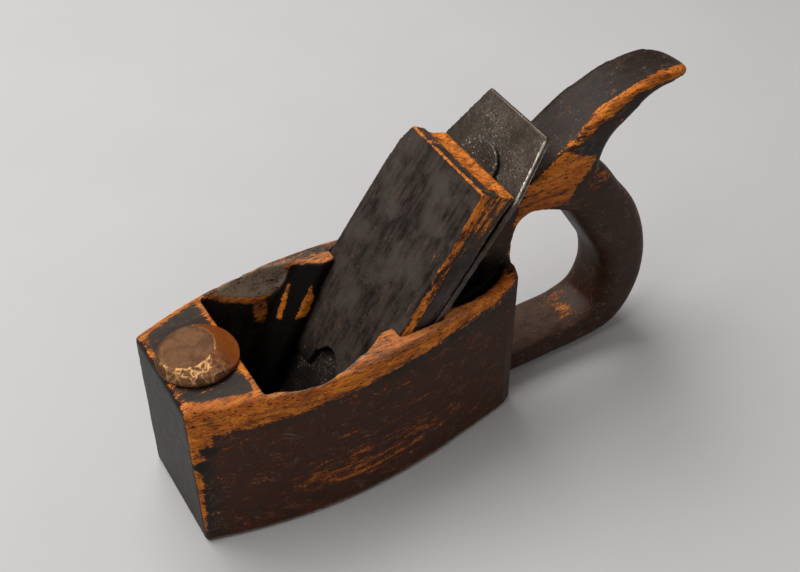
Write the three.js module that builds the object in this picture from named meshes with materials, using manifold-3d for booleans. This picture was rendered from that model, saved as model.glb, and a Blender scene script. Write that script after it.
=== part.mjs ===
// A small coffin-shaped smoothing plane with a horn and a closed loop handle carved from the body's own wood.
// Millimetres, +X towards the toe (the cutting direction), +Y to the user's left, +Z up from the sole.
import * as THREE from 'three';
import { mergeVertices } from 'three/addons/utils/BufferGeometryUtils.js';
import { ConvexGeometry } from 'three/addons/geometries/ConvexGeometry.js';
import Module from 'manifold-3d';

const wasm = await Module();
wasm.setup();

// ---- driving dimensions ----
const GAP = 0.3; // clearance between neighbouring pieces
const WIDE = 40; // half width of a cutter that goes through everything
const BODY_HEIGHT = 64;
const TOE_X = 103.5;
const HEEL_X = -22.6;
const TOE_HALF_WIDTH = 21.6;
const HEEL_HALF_WIDTH = 20.6;
const TOE_TAPER = 0.09; // the toe is this much narrower at the top than at the sole
const TOP_ROUND = 2.4;
const SOLE_CHAMFER = 0.9;

const BED_ANGLE = THREE.MathUtils.degToRad(49);
const IRON_FACE_X = 15.3; // where the iron's front face passes the top of the body
const IRON_THICK = 2.4;
const IRON_HALF_WIDTH = 24.5;
const IRON_TOP = 68.6; // along the bed, measured from the top of the body
const IRON_SHOULDER = 47.5;
const CAP_THICK = 1.6;
const CAP_SHOULDER = 27; // the cap iron narrows above this to a round-ended tongue
const CAP_TONGUE_AT = 46.6;
const CAP_TONGUE_HALF = 8.7;
const THROAT_HALF_WIDTH = 25;
const MOUTH_GAP = 2.2;
const BREAST_TOP_X = 78.4;

const WEDGE_TAPER = THREE.MathUtils.degToRad(5.1);
const WEDGE_FRONT_RISE = 10.6; // wedge front above the iron's face at the top of the body
const WEDGE_TOP = 44.2; // the front edge of the top end, which slopes up to the rear
const WEDGE_TOP_REAR = 47.7;
const WEDGE_TIP = -46;
const WEDGE_HALF_WIDTH = THROAT_HALF_WIDTH - 0.6;
const WEDGE_CROTCH = -34.2; // where the fork's two prongs meet
const COVE_AT = [49.5, 7.9]; // along and above
const COVE_RADIUS = 4.8;
const COVE_STOP = 17.4; // the hollow ends short of the left side
const ABUTMENT_HALF_GAP = 19.7;
const SCOOP_TILT = THREE.MathUtils.degToRad(36);

const IRON_TRAVEL = 10; // how far the iron draws back up the bed, and the cap iron up the iron
const CAP_TRAVEL = 5;
const BOSS_AT = -22; // the nut and screw, along the bed
const BOSS_RADIUS = 7;
const SHANK_RADIUS = 3.6;
const HEAD_RADIUS = 8;
const HEAD_THICK = 3.2;
const SLOT_WIDTH = 9.4;
const SLOT_LOW = -46;
const KEYHOLE_AT = 12;
const KEYHOLE_RADIUS = 9.2;

const BUTTON_X = 89.9;
const BUTTON_RADIUS = 13.6;
const BUTTON_RISE = 3.6;
const BUTTON_SHANK = 5;
const BUTTON_DEPTH = 18;

const HANDLE_HALF = 11.2; // half the thickness of the neck, loop and rail
const LOOP_SQUARENESS = 0.5; // 1 is an ellipse, smaller is squarer
const HORN_TIP_X = -99.4;

// ---- solids ----
function solid(geometry) {
  const plain = geometry.clone();
  plain.deleteAttribute('normal');
  plain.deleteAttribute('uv');
  const merged = mergeVertices(plain, 1e-4);
  const vertProperties = new Float32Array(merged.attributes.position.array);
  const triVerts = new Uint32Array(merged.index.array);
  return new wasm.Manifold(new wasm.Mesh({ numProp: 3, vertProperties, triVerts }));
}

function geometryOf(manifold) {
  const mesh = manifold.getMesh();
  const geometry = new THREE.BufferGeometry();
  geometry.setAttribute('position', new THREE.BufferAttribute(mesh.vertProperties, 3));
  geometry.setIndex(new THREE.BufferAttribute(mesh.triVerts, 1));
  geometry.computeVertexNormals();
  return geometry;
}

function piece(name, manifold, look) {
  const mesh = new THREE.Mesh(geometryOf(manifold), new THREE.MeshStandardMaterial(look));
  mesh.name = name;
  return mesh;
}

const unite = (parts) => parts.reduce((sum, part) => sum.add(part));

const shapeOf = (points) => new THREE.Shape(points.map(([x, y]) => new THREE.Vector2(x, y)));

// An outline in the XZ plane, carried along Y between two widths.
function sideProfile(shape, yLow, yHigh, options = {}) {
  const geometry = new THREE.ExtrudeGeometry(shape, { depth: yHigh - yLow, bevelEnabled: false, ...options });
  geometry.rotateX(Math.PI / 2);
  geometry.translate(0, yHigh, 0);
  return solid(geometry);
}

function upright(radius, zLow, zHigh, x, y, sides = 40) {
  const geometry = new THREE.CylinderGeometry(radius, radius, zHigh - zLow, sides);
  return solid(geometry.rotateX(Math.PI / 2).translate(x, y, (zLow + zHigh) / 2));
}

const both = (make) => [1, -1].map(make);

// Points on the side view: `along` up the bed from the top of the body, `above` from the iron's front face.
function bedPoint(along, above) {
  const x = IRON_FACE_X - along * Math.cos(BED_ANGLE) + above * Math.sin(BED_ANGLE);
  return [x, BODY_HEIGHT + along * Math.sin(BED_ANGLE) + above * Math.cos(BED_ANGLE)];
}

const wedgeFront = (along) => WEDGE_FRONT_RISE + along * Math.tan(WEDGE_TAPER);
const alongAtHeight = (z, above) => (z - BODY_HEIGHT - above * Math.cos(BED_ANGLE)) / Math.sin(BED_ANGLE);
const BED = -IRON_THICK - GAP;
const CAP_BACK = GAP;
const CAP_FRONT = CAP_BACK + CAP_THICK;
const WEDGE_BACK = CAP_FRONT + GAP;

// A plate lying on the bed: its side profile crossed with its outline seen square to the bed.
function plate(profile, outline, low, high) {
  const side = sideProfile(shapeOf(profile.map(([along, above]) => bedPoint(along, above))), -WIDE, WIDE);
  return side.intersect(onBed(new THREE.ExtrudeGeometry(outline, {
    depth: high - low, bevelEnabled: false, curveSegments: 10,
  }).translate(0, 0, low)));
}

// Turns a geometry drawn as (across, along, above) into its place on the bed.
function onBed(geometry) {
  const [x, z] = bedPoint(0, 0);
  const turn = new THREE.Matrix4().makeBasis(
    new THREE.Vector3(0, 1, 0),
    new THREE.Vector3(-Math.cos(BED_ANGLE), 0, Math.sin(BED_ANGLE)),
    new THREE.Vector3(Math.sin(BED_ANGLE), 0, Math.cos(BED_ANGLE)),
  );
  geometry.applyMatrix4(turn).translate(x, 0, z);
  return solid(geometry);
}

// ---- stock: body, escapement, neck, horn and loop in one piece of wood ----
function coffinOutline() {
  const half = [
    [TOE_X, TOE_HALF_WIDTH], [85, 26.4], [64, 29.6], [43, 30.4], [21, 28.6],
    [0, 24.8], [HEEL_X + 6, HEEL_HALF_WIDTH + 1],
  ];
  const left = new THREE.SplineCurve(half.map(([x, y]) => new THREE.Vector2(x, y))).getPoints(20);
  const corner = [[HEEL_X + 1.8, HEEL_HALF_WIDTH - 1.4], [HEEL_X, HEEL_HALF_WIDTH - 6]];
  const side = [...left, ...corner.map(([x, y]) => new THREE.Vector2(x, y))];
  const right = side.map((p) => new THREE.Vector2(p.x, -p.y)).reverse();
  return new THREE.Shape([...side, ...right].reverse());
}

// The sides draw in towards the top over the front of the body.
function tapered(geometry) {
  const position = geometry.attributes.position;
  const start = 56;
  for (let i = 0; i < position.count; i++) {
    const forward = Math.max(0, (position.getX(i) - start) / (TOE_X - start));
    position.setY(i, position.getY(i) * (1 - TOE_TAPER * forward ** 2 * position.getZ(i) / BODY_HEIGHT));
  }
  return geometry;
}

// Two extrusions of the same outline meet here: one rounded at the top, one that only trims the sole's edge.
function coffinBlock() {
  const bevelled = (size, outside, depth, bevelSegments) => new THREE.ExtrudeGeometry(coffinOutline(), {
    depth,
    bevelEnabled: true,
    bevelThickness: size,
    bevelSize: size,
    bevelOffset: outside - size,
    bevelSegments,
  });
  const margin = 1;
  const trim = SOLE_CHAMFER + margin;
  const tall = bevelled(TOP_ROUND, 0, BODY_HEIGHT, 4).translate(0, 0, -TOP_ROUND);
  const low = bevelled(trim, margin, 2 * BODY_HEIGHT, 1).translate(0, 0, trim);
  return solid(tapered(tall)).intersect(solid(tapered(low)));
}

function escapement() {
  const below = -5;
  const [bedSoleX] = bedPoint(alongAtHeight(below, BED), BED);
  const [bedHighX, bedHighZ] = bedPoint(90, BED);
  const [mouthX] = bedPoint(alongAtHeight(0, 0), 0);
  const breastSlope = (BREAST_TOP_X - mouthX - MOUTH_GAP) / BODY_HEIGHT;
  return sideProfile(shapeOf([
    [bedSoleX, below], [mouthX + MOUTH_GAP + below * breastSlope, below], [BREAST_TOP_X, BODY_HEIGHT],
    [BREAST_TOP_X, bedHighZ], [bedHighX, bedHighZ],
  ]), -THROAT_HALF_WIDTH, THROAT_HALF_WIDTH);
}

// The cheek blocks that hold the wedge: they rise along its front face and taper away towards the mouth.
function abutment(sign) {
  const inner = sign * ABUTMENT_HALF_GAP;
  const outer = sign * (THROAT_HALF_WIDTH + 0.6);
  const rear = (z) => {
    const slope = Math.tan(BED_ANGLE + WEDGE_TAPER);
    const [x0, z0] = bedPoint(0, WEDGE_FRONT_RISE + GAP);
    return x0 - (z - z0) / slope;
  };
  const low = 11;
  const high = BODY_HEIGHT - 0.4;
  const lowInner = sign * 12;
  const corners = [
    [rear(high), outer, high], [rear(high), inner, high], [33.5, inner, high], [42.8, outer, high],
    [rear(low), outer, low], [rear(low), lowInner, low], [rear(low) + 2, lowInner, low],
    [rear(low) + 6.5, outer, low],
  ];
  return solid(new ConvexGeometry(corners.map((corner) => new THREE.Vector3(...corner))));
}

// Hollow worked into the inner top edge of each cheek, from the breast to the abutment, deeper to the rear.
function cheekScoop(sign) {
  const inside = THROAT_HALF_WIDTH - 1;
  const bowl = new THREE.SphereGeometry(1, 48, 32).scale(40, 24.5, 19.8).rotateY(-SCOOP_TILT);
  const reach = new THREE.BoxGeometry(BREAST_TOP_X - 30, 12, 40)
    .translate((BREAST_TOP_X + 30) / 2, sign * (inside + 6), BODY_HEIGHT);
  return solid(bowl.translate(64.1, sign * 5, BODY_HEIGHT + 5.1)).intersect(solid(reach));
}

// Pocket behind the iron on each side of the neck.
function neckPocket(sign) {
  return solid(new THREE.SphereGeometry(1, 24, 14).scale(17, 7.6, 12)
    .rotateZ(sign * 0.2).translate(-2.5, sign * 14.2, BODY_HEIGHT + 2.5));
}

function neckAndHorn() {
  const outline = new THREE.Shape();
  outline.moveTo(6, 50);
  outline.lineTo(6, 84);
  outline.lineTo(-8.7, 85.2);
  outline.splineThru([[-20, 88], [-31.5, 93.6], [-42.4, 101.2], [-56.2, 110.4], [-70.1, 115.4],
    [-83, 117.1], [-92.5, 115.2], [HORN_TIP_X, 111.4]].map(([x, z]) => new THREE.Vector2(x, z)));
  outline.lineTo(HORN_TIP_X + 0.4, 109.6);
  outline.splineThru([[-90.5, 111.8], [-80, 110.8], [-69.4, 104.6], [-62.4, 98.4],
    [-59, 90.4]].map(([x, z]) => new THREE.Vector2(x, z)));
  outline.lineTo(-54, 82);
  outline.lineTo(-49.6, 72.2);
  outline.splineThru([[-43, 76.2], [-35, 79.4], [-29.6, 80.2], [-25.2, 77.6],
    [-23.2, 71]].map(([x, z]) => new THREE.Vector2(x, z)));
  outline.lineTo(HEEL_X + 0.4, 50);
  const options = { curveSegments: 12 };
  return sideProfile(outline, -HANDLE_HALF, HANDLE_HALF, options).intersect(hornPlan());
}

// Seen from above the horn narrows a little and ends in a round tip.
function hornPlan() {
  const plan = new THREE.Shape();
  plan.moveTo(20, -HANDLE_HALF - 1);
  plan.lineTo(20, HANDLE_HALF + 1);
  plan.lineTo(-44, HANDLE_HALF);
  plan.lineTo(-85, 9);
  plan.absellipse(-85, 0, -HORN_TIP_X - 85, 9, Math.PI / 2, 3 * Math.PI / 2, false);
  plan.lineTo(-44, -HANDLE_HALF);
  return solid(new THREE.ExtrudeGeometry(plan, { depth: 90, bevelEnabled: false, curveSegments: 10 })
    .translate(0, 0, 40));
}

// The rail leaves the heel, turns up into the grip and leans forward into the neck: each station gives
// the middle of the bar in side view and half its depth there.
function loop() {
  const stations = [
    [-10, 7.9, 6.5], [-45, 7.9, 6.5], [-60, 8.4, 6.8], [-72.4, 12.6, 9.2], [-78.6, 26, 9.7],
    [-77.4, 42.5, 10.1], [-71.2, 56.4, 11.2], [-63.3, 68.2, 10.8], [-55, 80, 10.2], [-45, 88, 8], [-30, 84, 3],
  ];
  const path = new THREE.CatmullRomCurve3(stations.map(([x, z]) => new THREE.Vector3(x, 0, z)));
  const depth = new THREE.SplineCurve(stations.map(([, , half], i) => new THREE.Vector2(i, half)));
  const bar = new THREE.CylinderGeometry(1, 1, 1, 28, 44);
  const position = bar.attributes.position;
  const across = new THREE.Vector3(0, 1, 0);
  const squared = (v) => Math.sign(v) * Math.abs(v) ** LOOP_SQUARENESS;
  for (let i = 0; i < position.count; i++) {
    const along = position.getY(i) + 0.5;
    const outward = path.getTangent(along).cross(across);
    const spot = path.getPoint(along)
      .addScaledVector(outward, squared(position.getX(i)) * depth.getPoint(along).y)
      .addScaledVector(across, squared(position.getZ(i)) * HANDLE_HALF);
    position.setXYZ(i, spot.x, spot.y, spot.z);
  }
  return solid(bar);
}

function screwHeadGroove() {
  const above = BED - HEAD_THICK - 1.4;
  const slot = new THREE.Shape();
  const half = HEAD_RADIUS + 0.8;
  slot.absarc(0, BOSS_AT + IRON_TRAVEL + CAP_TRAVEL + 2, half, 0, Math.PI, false);
  slot.absarc(0, BOSS_AT - 7, half, Math.PI, 2 * Math.PI, false);
  return onBed(new THREE.ExtrudeGeometry(slot, { depth: 8, bevelEnabled: false, curveSegments: 12 })
    .translate(0, 0, above));
}

function stock() {
  const carved = coffinBlock().subtract(unite(both(neckPocket)));
  const hollowed = unite([carved, neckAndHorn(), loop()])
    .subtract(escapement())
    .subtract(unite(both(cheekScoop)));
  return unite([hollowed, ...both(abutment)])
    .subtract(screwHeadGroove())
    .subtract(upright(BUTTON_SHANK + GAP, BODY_HEIGHT - BUTTON_DEPTH, BODY_HEIGHT + 9, BUTTON_X, 0));
}

// ---- iron, cap iron and their fastening ----
function ironOutline() {
  const top = IRON_TOP;
  const outline = shapeOf([
    [-IRON_HALF_WIDTH, -100], [IRON_HALF_WIDTH, -100], [IRON_HALF_WIDTH, 0], [21.3, IRON_SHOULDER],
    [16.2, top], [-16.2, top], [-21.3, IRON_SHOULDER], [-IRON_HALF_WIDTH, 0],
  ]);
  const hole = new THREE.Path();
  const half = SLOT_WIDTH / 2;
  const spread = Math.asin(half / KEYHOLE_RADIUS);
  hole.absarc(0, SLOT_LOW + half, half, Math.PI, 2 * Math.PI, false);
  hole.absarc(0, KEYHOLE_AT, KEYHOLE_RADIUS, -Math.PI / 2 + spread, 1.5 * Math.PI - spread, false);
  outline.holes.push(hole);
  return outline;
}

function cuttingIron() {
  const edge = alongAtHeight(0.05, 0);
  const bevel = IRON_THICK / Math.tan(THREE.MathUtils.degToRad(26));
  const profile = [[edge, 0], [IRON_TOP, 0], [IRON_TOP, -IRON_THICK], [edge + bevel, -IRON_THICK]];
  return plate(profile, ironOutline(), -IRON_THICK - 2, 4);
}

function capIron() {
  const edge = alongAtHeight(0.05, 0);
  const half = IRON_HALF_WIDTH - 0.3;
  const shoulder = half - 2;
  const outline = new THREE.Shape();
  outline.moveTo(-half, -100);
  outline.lineTo(half, -100);
  outline.lineTo(half, 0);
  outline.lineTo(shoulder, CAP_SHOULDER);
  outline.quadraticCurveTo(CAP_TONGUE_HALF + 2.4, CAP_SHOULDER + 1.5, CAP_TONGUE_HALF, CAP_SHOULDER + 14);
  outline.absarc(0, CAP_TONGUE_AT, CAP_TONGUE_HALF, 0, Math.PI, false);
  outline.lineTo(-CAP_TONGUE_HALF, CAP_SHOULDER + 14);
  outline.quadraticCurveTo(-CAP_TONGUE_HALF - 2.4, CAP_SHOULDER + 1.5, -shoulder, CAP_SHOULDER);
  outline.lineTo(-half, 0);
  const hole = new THREE.Path();
  hole.absarc(0, BOSS_AT, BOSS_RADIUS - 1.6, 0, 2 * Math.PI, true);
  outline.holes.push(hole);
  const lip = edge + 1.6;
  const top = CAP_TONGUE_AT + CAP_TONGUE_HALF + 1;
  const profile = [
    [lip, CAP_BACK], [lip + 0.7, CAP_BACK], [lip + 6, CAP_BACK + 1], [lip + 14, CAP_BACK],
    [top, CAP_BACK], [top, CAP_FRONT], [lip + 15, CAP_FRONT], [lip + 8.5, CAP_FRONT + 0.9],
    [lip + 4, CAP_FRONT + 0.4], [lip + 1.2, CAP_FRONT - 1],
  ];
  return plate(profile, outline, -2, 9);
}

function turned(points, sides) {
  return new THREE.LatheGeometry(points.map(([r, y]) => new THREE.Vector2(r, y)), sides).rotateX(Math.PI / 2);
}

function capIronNut() {
  const flange = CAP_FRONT + 0.15;
  const neck = BOSS_RADIUS - 1.9;
  const bore = SHANK_RADIUS + GAP;
  return onBed(turned([
    [bore, CAP_BACK + 0.1], [neck, CAP_BACK + 0.1], [neck, flange], [BOSS_RADIUS, flange],
    [BOSS_RADIUS, flange + 1.7], [BOSS_RADIUS - 0.6, flange + 2.3], [bore, flange + 2.3],
    [bore, CAP_BACK + 0.1],
  ], 36).translate(0, BOSS_AT, 0));
}

function capScrew() {
  const headTop = -IRON_THICK - 0.25;
  const headLow = headTop - HEAD_THICK;
  const end = CAP_FRONT + 2;
  const body = onBed(turned([
    [0, headLow], [HEAD_RADIUS - 1, headLow], [HEAD_RADIUS, headLow + 1], [HEAD_RADIUS, headTop],
    [SHANK_RADIUS, headTop], [SHANK_RADIUS, end - 0.6], [SHANK_RADIUS - 0.6, end], [0, end],
  ], 36).translate(0, BOSS_AT, 0));
  const slot = onBed(new THREE.BoxGeometry(2.4 * HEAD_RADIUS, 1.6, 2.6).translate(0, BOSS_AT, headLow));
  return body.subtract(slot);
}

// ---- wedge ----
function wedgeOutline() {
  const outline = new THREE.Shape();
  outline.moveTo(7.6, WEDGE_TIP - 4);
  outline.lineTo(WEDGE_HALF_WIDTH, WEDGE_TIP - 4);
  outline.splineThru([[WEDGE_HALF_WIDTH, 4], [23.4, 25], [22.5, 38], [21.9, 52]]
    .map(([across, along]) => new THREE.Vector2(across, along)));
  outline.lineTo(-14, 52);
  outline.quadraticCurveTo(-19.6, 46.8, -21.8, 43.6);
  outline.lineTo(-23.6, 38);
  outline.splineThru([[-23.9, 34], [-WEDGE_HALF_WIDTH, 18], [-WEDGE_HALF_WIDTH, WEDGE_TIP - 4]]
    .map(([across, along]) => new THREE.Vector2(across, along)));
  outline.lineTo(-7.6, WEDGE_TIP - 4);
  outline.quadraticCurveTo(-7, WEDGE_CROTCH, 0, WEDGE_CROTCH);
  outline.quadraticCurveTo(7, WEDGE_CROTCH, 7.6, WEDGE_TIP - 4);
  return outline;
}

function wedge() {
  const chamferAt = -18;
  const profile = [
    [WEDGE_TIP, WEDGE_BACK], [WEDGE_TOP_REAR, WEDGE_BACK], [WEDGE_TOP, wedgeFront(WEDGE_TOP)],
    [chamferAt, wedgeFront(chamferAt)], [WEDGE_TIP, WEDGE_BACK + 1.6],
  ];
  const blank = plate(profile, wedgeOutline(), -2, 20);
  const grooveTop = BOSS_AT + IRON_TRAVEL + CAP_TRAVEL + BOSS_RADIUS + 1.5;
  const groove = onBed(new THREE.BoxGeometry(2 * BOSS_RADIUS + 1.4, 60, 6)
    .translate(0, grooveTop - 30, CAP_FRONT - 0.1));
  const cove = sideProfile(coveCircle(), -WIDE, COVE_STOP);
  return blank.subtract(groove).subtract(cove);
}

// A hollow runs across the back of the wedge's top end, behind a flat band along its front.
function coveCircle() {
  const [x, z] = bedPoint(...COVE_AT);
  const circle = new THREE.Shape();
  circle.absarc(x, z, COVE_RADIUS, 0, 2 * Math.PI, false);
  return circle;
}

// ---- strike button ----
function strikeButton() {
  const seat = BODY_HEIGHT + 0.15;
  const top = seat + BUTTON_RISE;
  return solid(turned([
    [0, BODY_HEIGHT - BUTTON_DEPTH + 2], [BUTTON_SHANK - 1, BODY_HEIGHT - BUTTON_DEPTH + 2],
    [BUTTON_SHANK, BODY_HEIGHT - BUTTON_DEPTH + 3.5], [BUTTON_SHANK, seat], [BUTTON_RADIUS - 0.4, seat],
    [BUTTON_RADIUS, seat + 0.6], [BUTTON_RADIUS - 0.3, seat + 1.6], [BUTTON_RADIUS - 1.8, top - 0.3],
    [BUTTON_RADIUS - 4, top], [0, top],
  ], 48).translate(BUTTON_X, 0, 0));
}

// ---- assembly ----
const WOOD = { color: 0x2b1a12, roughness: 0.55, metalness: 0 };
const WEDGE_WOOD = { color: 0x2e2622, roughness: 0.6, metalness: 0 };
const STEEL = { color: 0x5b554f, roughness: 0.5, metalness: 0.9 };
const BRASS = { color: 0xa8793f, roughness: 0.45, metalness: 0.9 };

const plane = new THREE.Group();
plane.add(
  piece('stock', stock(), WOOD),
  piece('wedge', wedge(), WEDGE_WOOD),
  piece('cutting_iron', cuttingIron(), STEEL),
  piece('cap_iron', capIron(), STEEL),
  piece('cap_iron_nut', capIronNut(), BRASS),
  piece('cap_screw', capScrew(), STEEL),
  piece('strike_button', strikeButton(), BRASS),
);

// the origin stands on the sole, under the middle of the whole length
plane.position.x = -(TOE_X + HORN_TIP_X) / 2;

export default plane;
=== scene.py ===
"""A small wooden smoothing plane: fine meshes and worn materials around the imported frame.

Metres, +X towards the toe, +Y to the user's left, +Z up from the sole. Mesh work is done in millimetres."""

import math

import bmesh
import bpy
import numpy as np
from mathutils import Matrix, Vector, noise


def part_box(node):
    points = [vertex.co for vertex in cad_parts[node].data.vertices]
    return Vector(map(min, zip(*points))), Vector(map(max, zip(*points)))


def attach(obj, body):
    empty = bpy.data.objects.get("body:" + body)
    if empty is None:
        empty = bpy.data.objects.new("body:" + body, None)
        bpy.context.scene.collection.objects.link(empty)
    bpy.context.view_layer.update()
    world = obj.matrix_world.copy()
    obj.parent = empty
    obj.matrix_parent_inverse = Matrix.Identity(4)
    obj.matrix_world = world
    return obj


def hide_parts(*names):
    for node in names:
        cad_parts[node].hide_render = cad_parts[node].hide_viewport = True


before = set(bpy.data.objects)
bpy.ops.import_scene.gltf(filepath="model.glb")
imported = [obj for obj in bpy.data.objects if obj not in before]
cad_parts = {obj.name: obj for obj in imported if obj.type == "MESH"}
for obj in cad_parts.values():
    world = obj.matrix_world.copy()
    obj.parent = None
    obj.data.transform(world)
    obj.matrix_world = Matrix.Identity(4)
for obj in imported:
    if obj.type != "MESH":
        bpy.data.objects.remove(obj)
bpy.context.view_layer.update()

MM = 0.001
BED_ANGLE = math.radians(49)
WEDGE_ANGLE = math.radians(54.1)

STOCK_LOW, STOCK_HIGH = (np.array(corner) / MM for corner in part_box("stock"))
IRON_LOW, IRON_HIGH = (np.array(corner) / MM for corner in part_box("cutting_iron"))
BUTTON_LOW, BUTTON_HIGH = (np.array(corner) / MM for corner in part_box("strike_button"))
BUTTON_CENTRE = (BUTTON_LOW + BUTTON_HIGH) / 2
BUTTON_RADIUS = (BUTTON_HIGH[1] - BUTTON_LOW[1]) / 2

# The stock's main planes, in mm. The breast is the throat's front wall; the handle turns into the horn
# between the last two heights.
BODY_TOP = 64.0
TOE = STOCK_HIGH[0]
HEEL = TOE - 126.1
BREAST = TOE - 25.1
THROAT_SIDE = 25.0
HANDLE_SIDE = 11.2
HORN_FROM, HORN_FULL = 84, 92

# Directions along the bed, off the bed, and off the wedge's front face.
UP_BED = np.array([-math.cos(BED_ANGLE), 0, math.sin(BED_ANGLE)])
OFF_BED = np.array([math.sin(BED_ANGLE), 0, math.cos(BED_ANGLE)])
WEDGE_FRONT = np.array([math.sin(WEDGE_ANGLE), 0, math.cos(WEDGE_ANGLE)])

# Distances up the bed from the cutting edge, in mm: the body's top, the cap iron's round end, and where the
# iron's clipped corners start and end.
CUTTING_EDGE = np.array([IRON_HIGH[0], 0, IRON_LOW[2]])
BED_LENGTH = 84.8
CAP_END = 130
CLIPPED = (128, 134, 150, 153)

# The wedge's left side: distances up the bed from the body's top, and the half widths there.
WEDGE_STATIONS = [4, 25, 38, 48]
WEDGE_HALF_WIDTHS = [24.4, 23.4, 22.5, 22.0]

# Remeshed sizes and depths of relief, in mm.
STOCK_VOXEL, WEDGE_VOXEL, PLATE_VOXEL, BUTTON_VOXEL = 0.87, 0.5, 0.5, 0.32
STOCK_CHIPS, STOCK_SWELL = 0.28, 0.09
WEDGE_CHIPS, WEDGE_SWELL = 0.12, 0.05
IRON_PITS, CAP_PITS = 0.05, 0.04

# Worn, dark and dirty places on the stock, and the hollows beside the neck where shade is painted: each
# one's centre and its reach along x, y and z.
SIDE_STREAKS = (38, 28, 18), (46, 14, 13)
WALL_PATCH = (55, THROAT_SIDE, 49), (4.5, 5, 12)
IRON_FOOT = (33, 15, 14), (9, 6, 12)
BRUISE = (TOE - 2.8, 20, 38.6), (3.6, 5, 3.4)
BRUISE_TAIL = (TOE - 6, 21, 45), (4.5, 5, 3.0)
GRIP_ROOT = (-62, HANDLE_SIDE, 84), (12, 9, 12)
RAIL_MIDDLE = (-59, 4, 15), (7, 9, 5)
HEEL_CORNER = (HEEL + 11, 20, BODY_TOP), (7, 8, 4)
NECK_HOLLOW = (-4, 15, 63), (17, 8, 11)

# The rubbed patch on each side of the neck, as an outline in x and z.
NECK_RUBBED = [(-25, 74), (-27, 86), (-36, 97), (-43, 101), (-59, 94), (-50, 83), (-48, 79), (-38, 80)]


# ---- small numeric helpers ----
def smoothstep(low, high, value):
    """A smooth change from 0 at low to 1 at high; low may be the larger of the two."""
    t = np.clip((value - low) / (high - low), 0, 1)
    return t * t * (3 - 2 * t)


def blob(points, centre, radii):
    """1 at a centre, fading to 0 at an ellipsoid's surface."""
    distance = np.linalg.norm((points - np.array(centre)) / np.array(radii), axis=1)
    return smoothstep(1, 0, distance)


def both_sides(points):
    """The points with the right half folded onto the left."""
    x, y, z = points.T
    return np.stack([x, np.abs(y), z], 1)


def within(spots, outline, soft):
    """1 inside a closed outline of 2-D points and 0 outside, over a blurred border soft mm wide."""
    corners = np.array(outline, float)
    nearest = np.full(len(spots), np.inf)
    crossings = np.zeros(len(spots), int)
    for start, end in zip(corners, np.roll(corners, -1, axis=0)):
        edge = end - start
        share = np.clip((spots - start) @ edge / (edge @ edge), 0, 1)
        nearest = np.minimum(nearest, np.linalg.norm(spots - start - share[:, None] * edge, axis=1))
        between = (spots[:, 1] > start[1]) != (spots[:, 1] > end[1])
        slant = edge[0] / (edge[1] or 1)
        crossings += between & (spots[:, 0] < start[0] + (spots[:, 1] - start[1]) * slant)
    return smoothstep(-soft / 2, soft / 2, np.where(crossings % 2 == 1, nearest, -nearest))


def rough_field(points, size, seed, octaves=3):
    """Smooth noise from about -1 to 1; size is the width of its largest lumps in mm."""
    shift = Vector((seed * 17.3, seed * 5.1, -seed * 9.7))
    return np.array([
        noise.fractal(Vector(point / size) + shift, 0.7, 2.0, octaves) for point in points
    ])


class Surface:
    """The points of a dense mesh in mm, with the neighbour sums that smoothing and edge finding need."""

    def __init__(self, piece):
        self.mesh = piece.data
        count = len(self.mesh.vertices)
        points = np.empty(count * 3)
        self.mesh.vertices.foreach_get("co", points)
        self.points = points.reshape(-1, 3) / MM
        ends = np.empty(len(self.mesh.edges) * 2, np.int32)
        self.mesh.edges.foreach_get("vertices", ends)
        self.ends = ends.reshape(-1, 2)
        self.degree = np.bincount(ends, minlength=count)

    def neighbours(self, values):
        """The mean of each point's neighbours."""
        first, second = self.ends.T
        count = len(self.points)
        sums = [
            np.bincount(first, column[second], count) + np.bincount(second, column[first], count)
            for column in values.reshape(count, -1).T
        ]
        return (np.array(sums).T / self.degree[:, None]).reshape(values.shape)

    def smoothed(self, values, rounds, weight=1.0):
        weight = np.broadcast_to(weight, (len(self.points),))
        if values.ndim == 2:
            weight = weight[:, None]
        for _ in range(rounds):
            values = values + 0.5 * weight * (self.neighbours(values) - values)
        return values

    def rounded(self, rounds, weight=1.0):
        """Softens edges but keeps the volume: a slightly stronger undoing follows each smoothing step."""
        for _ in range(rounds):
            self.points = self.smoothed(self.points, 1, weight)
            self.points = self.smoothed(self.points, 1, -1.04 * np.asarray(weight))

    def write(self):
        self.mesh.vertices.foreach_set("co", (self.points * MM).ravel())
        self.mesh.update()

    def normals(self):
        self.write()
        normals = np.empty(len(self.points) * 3)
        self.mesh.vertices.foreach_get("normal", normals)
        return normals.reshape(-1, 3)

    def ridge(self, rounds):
        """How far each point stands out of the smoothed surface: above 0 on edges, below 0 in corners."""
        lowered = self.smoothed(self.points, rounds)
        return np.einsum("ij,ij->i", self.points - lowered, self.normals())

    def attribute(self, name, values):
        layer = self.mesh.attributes.new(name, "FLOAT", "POINT")
        layer.data.foreach_set("value", np.clip(values, 0, 1).astype(np.float32))


def refined(node, name, voxel, body):
    """A finer copy of a CAD node as even quads, which stands for that node and rides on its body."""
    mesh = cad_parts[node].data.copy()
    mesh.materials.clear()
    joined = bmesh.new()
    joined.from_mesh(mesh)
    bmesh.ops.remove_doubles(joined, verts=joined.verts, dist=1e-6)
    joined.to_mesh(mesh)
    joined.free()
    piece = bpy.data.objects.new(name, mesh)
    bpy.context.scene.collection.objects.link(piece)
    remesh = piece.modifiers.new("remesh", "REMESH")
    remesh.mode = "VOXEL"
    remesh.voxel_size = voxel * MM
    remesh.use_smooth_shade = True
    graph = bpy.context.evaluated_depsgraph_get()
    fine = bpy.data.meshes.new_from_object(piece.evaluated_get(graph))
    fine.name = name
    piece.modifiers.clear()
    piece.data = fine
    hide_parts(node)
    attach(piece, body)
    return piece


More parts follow.
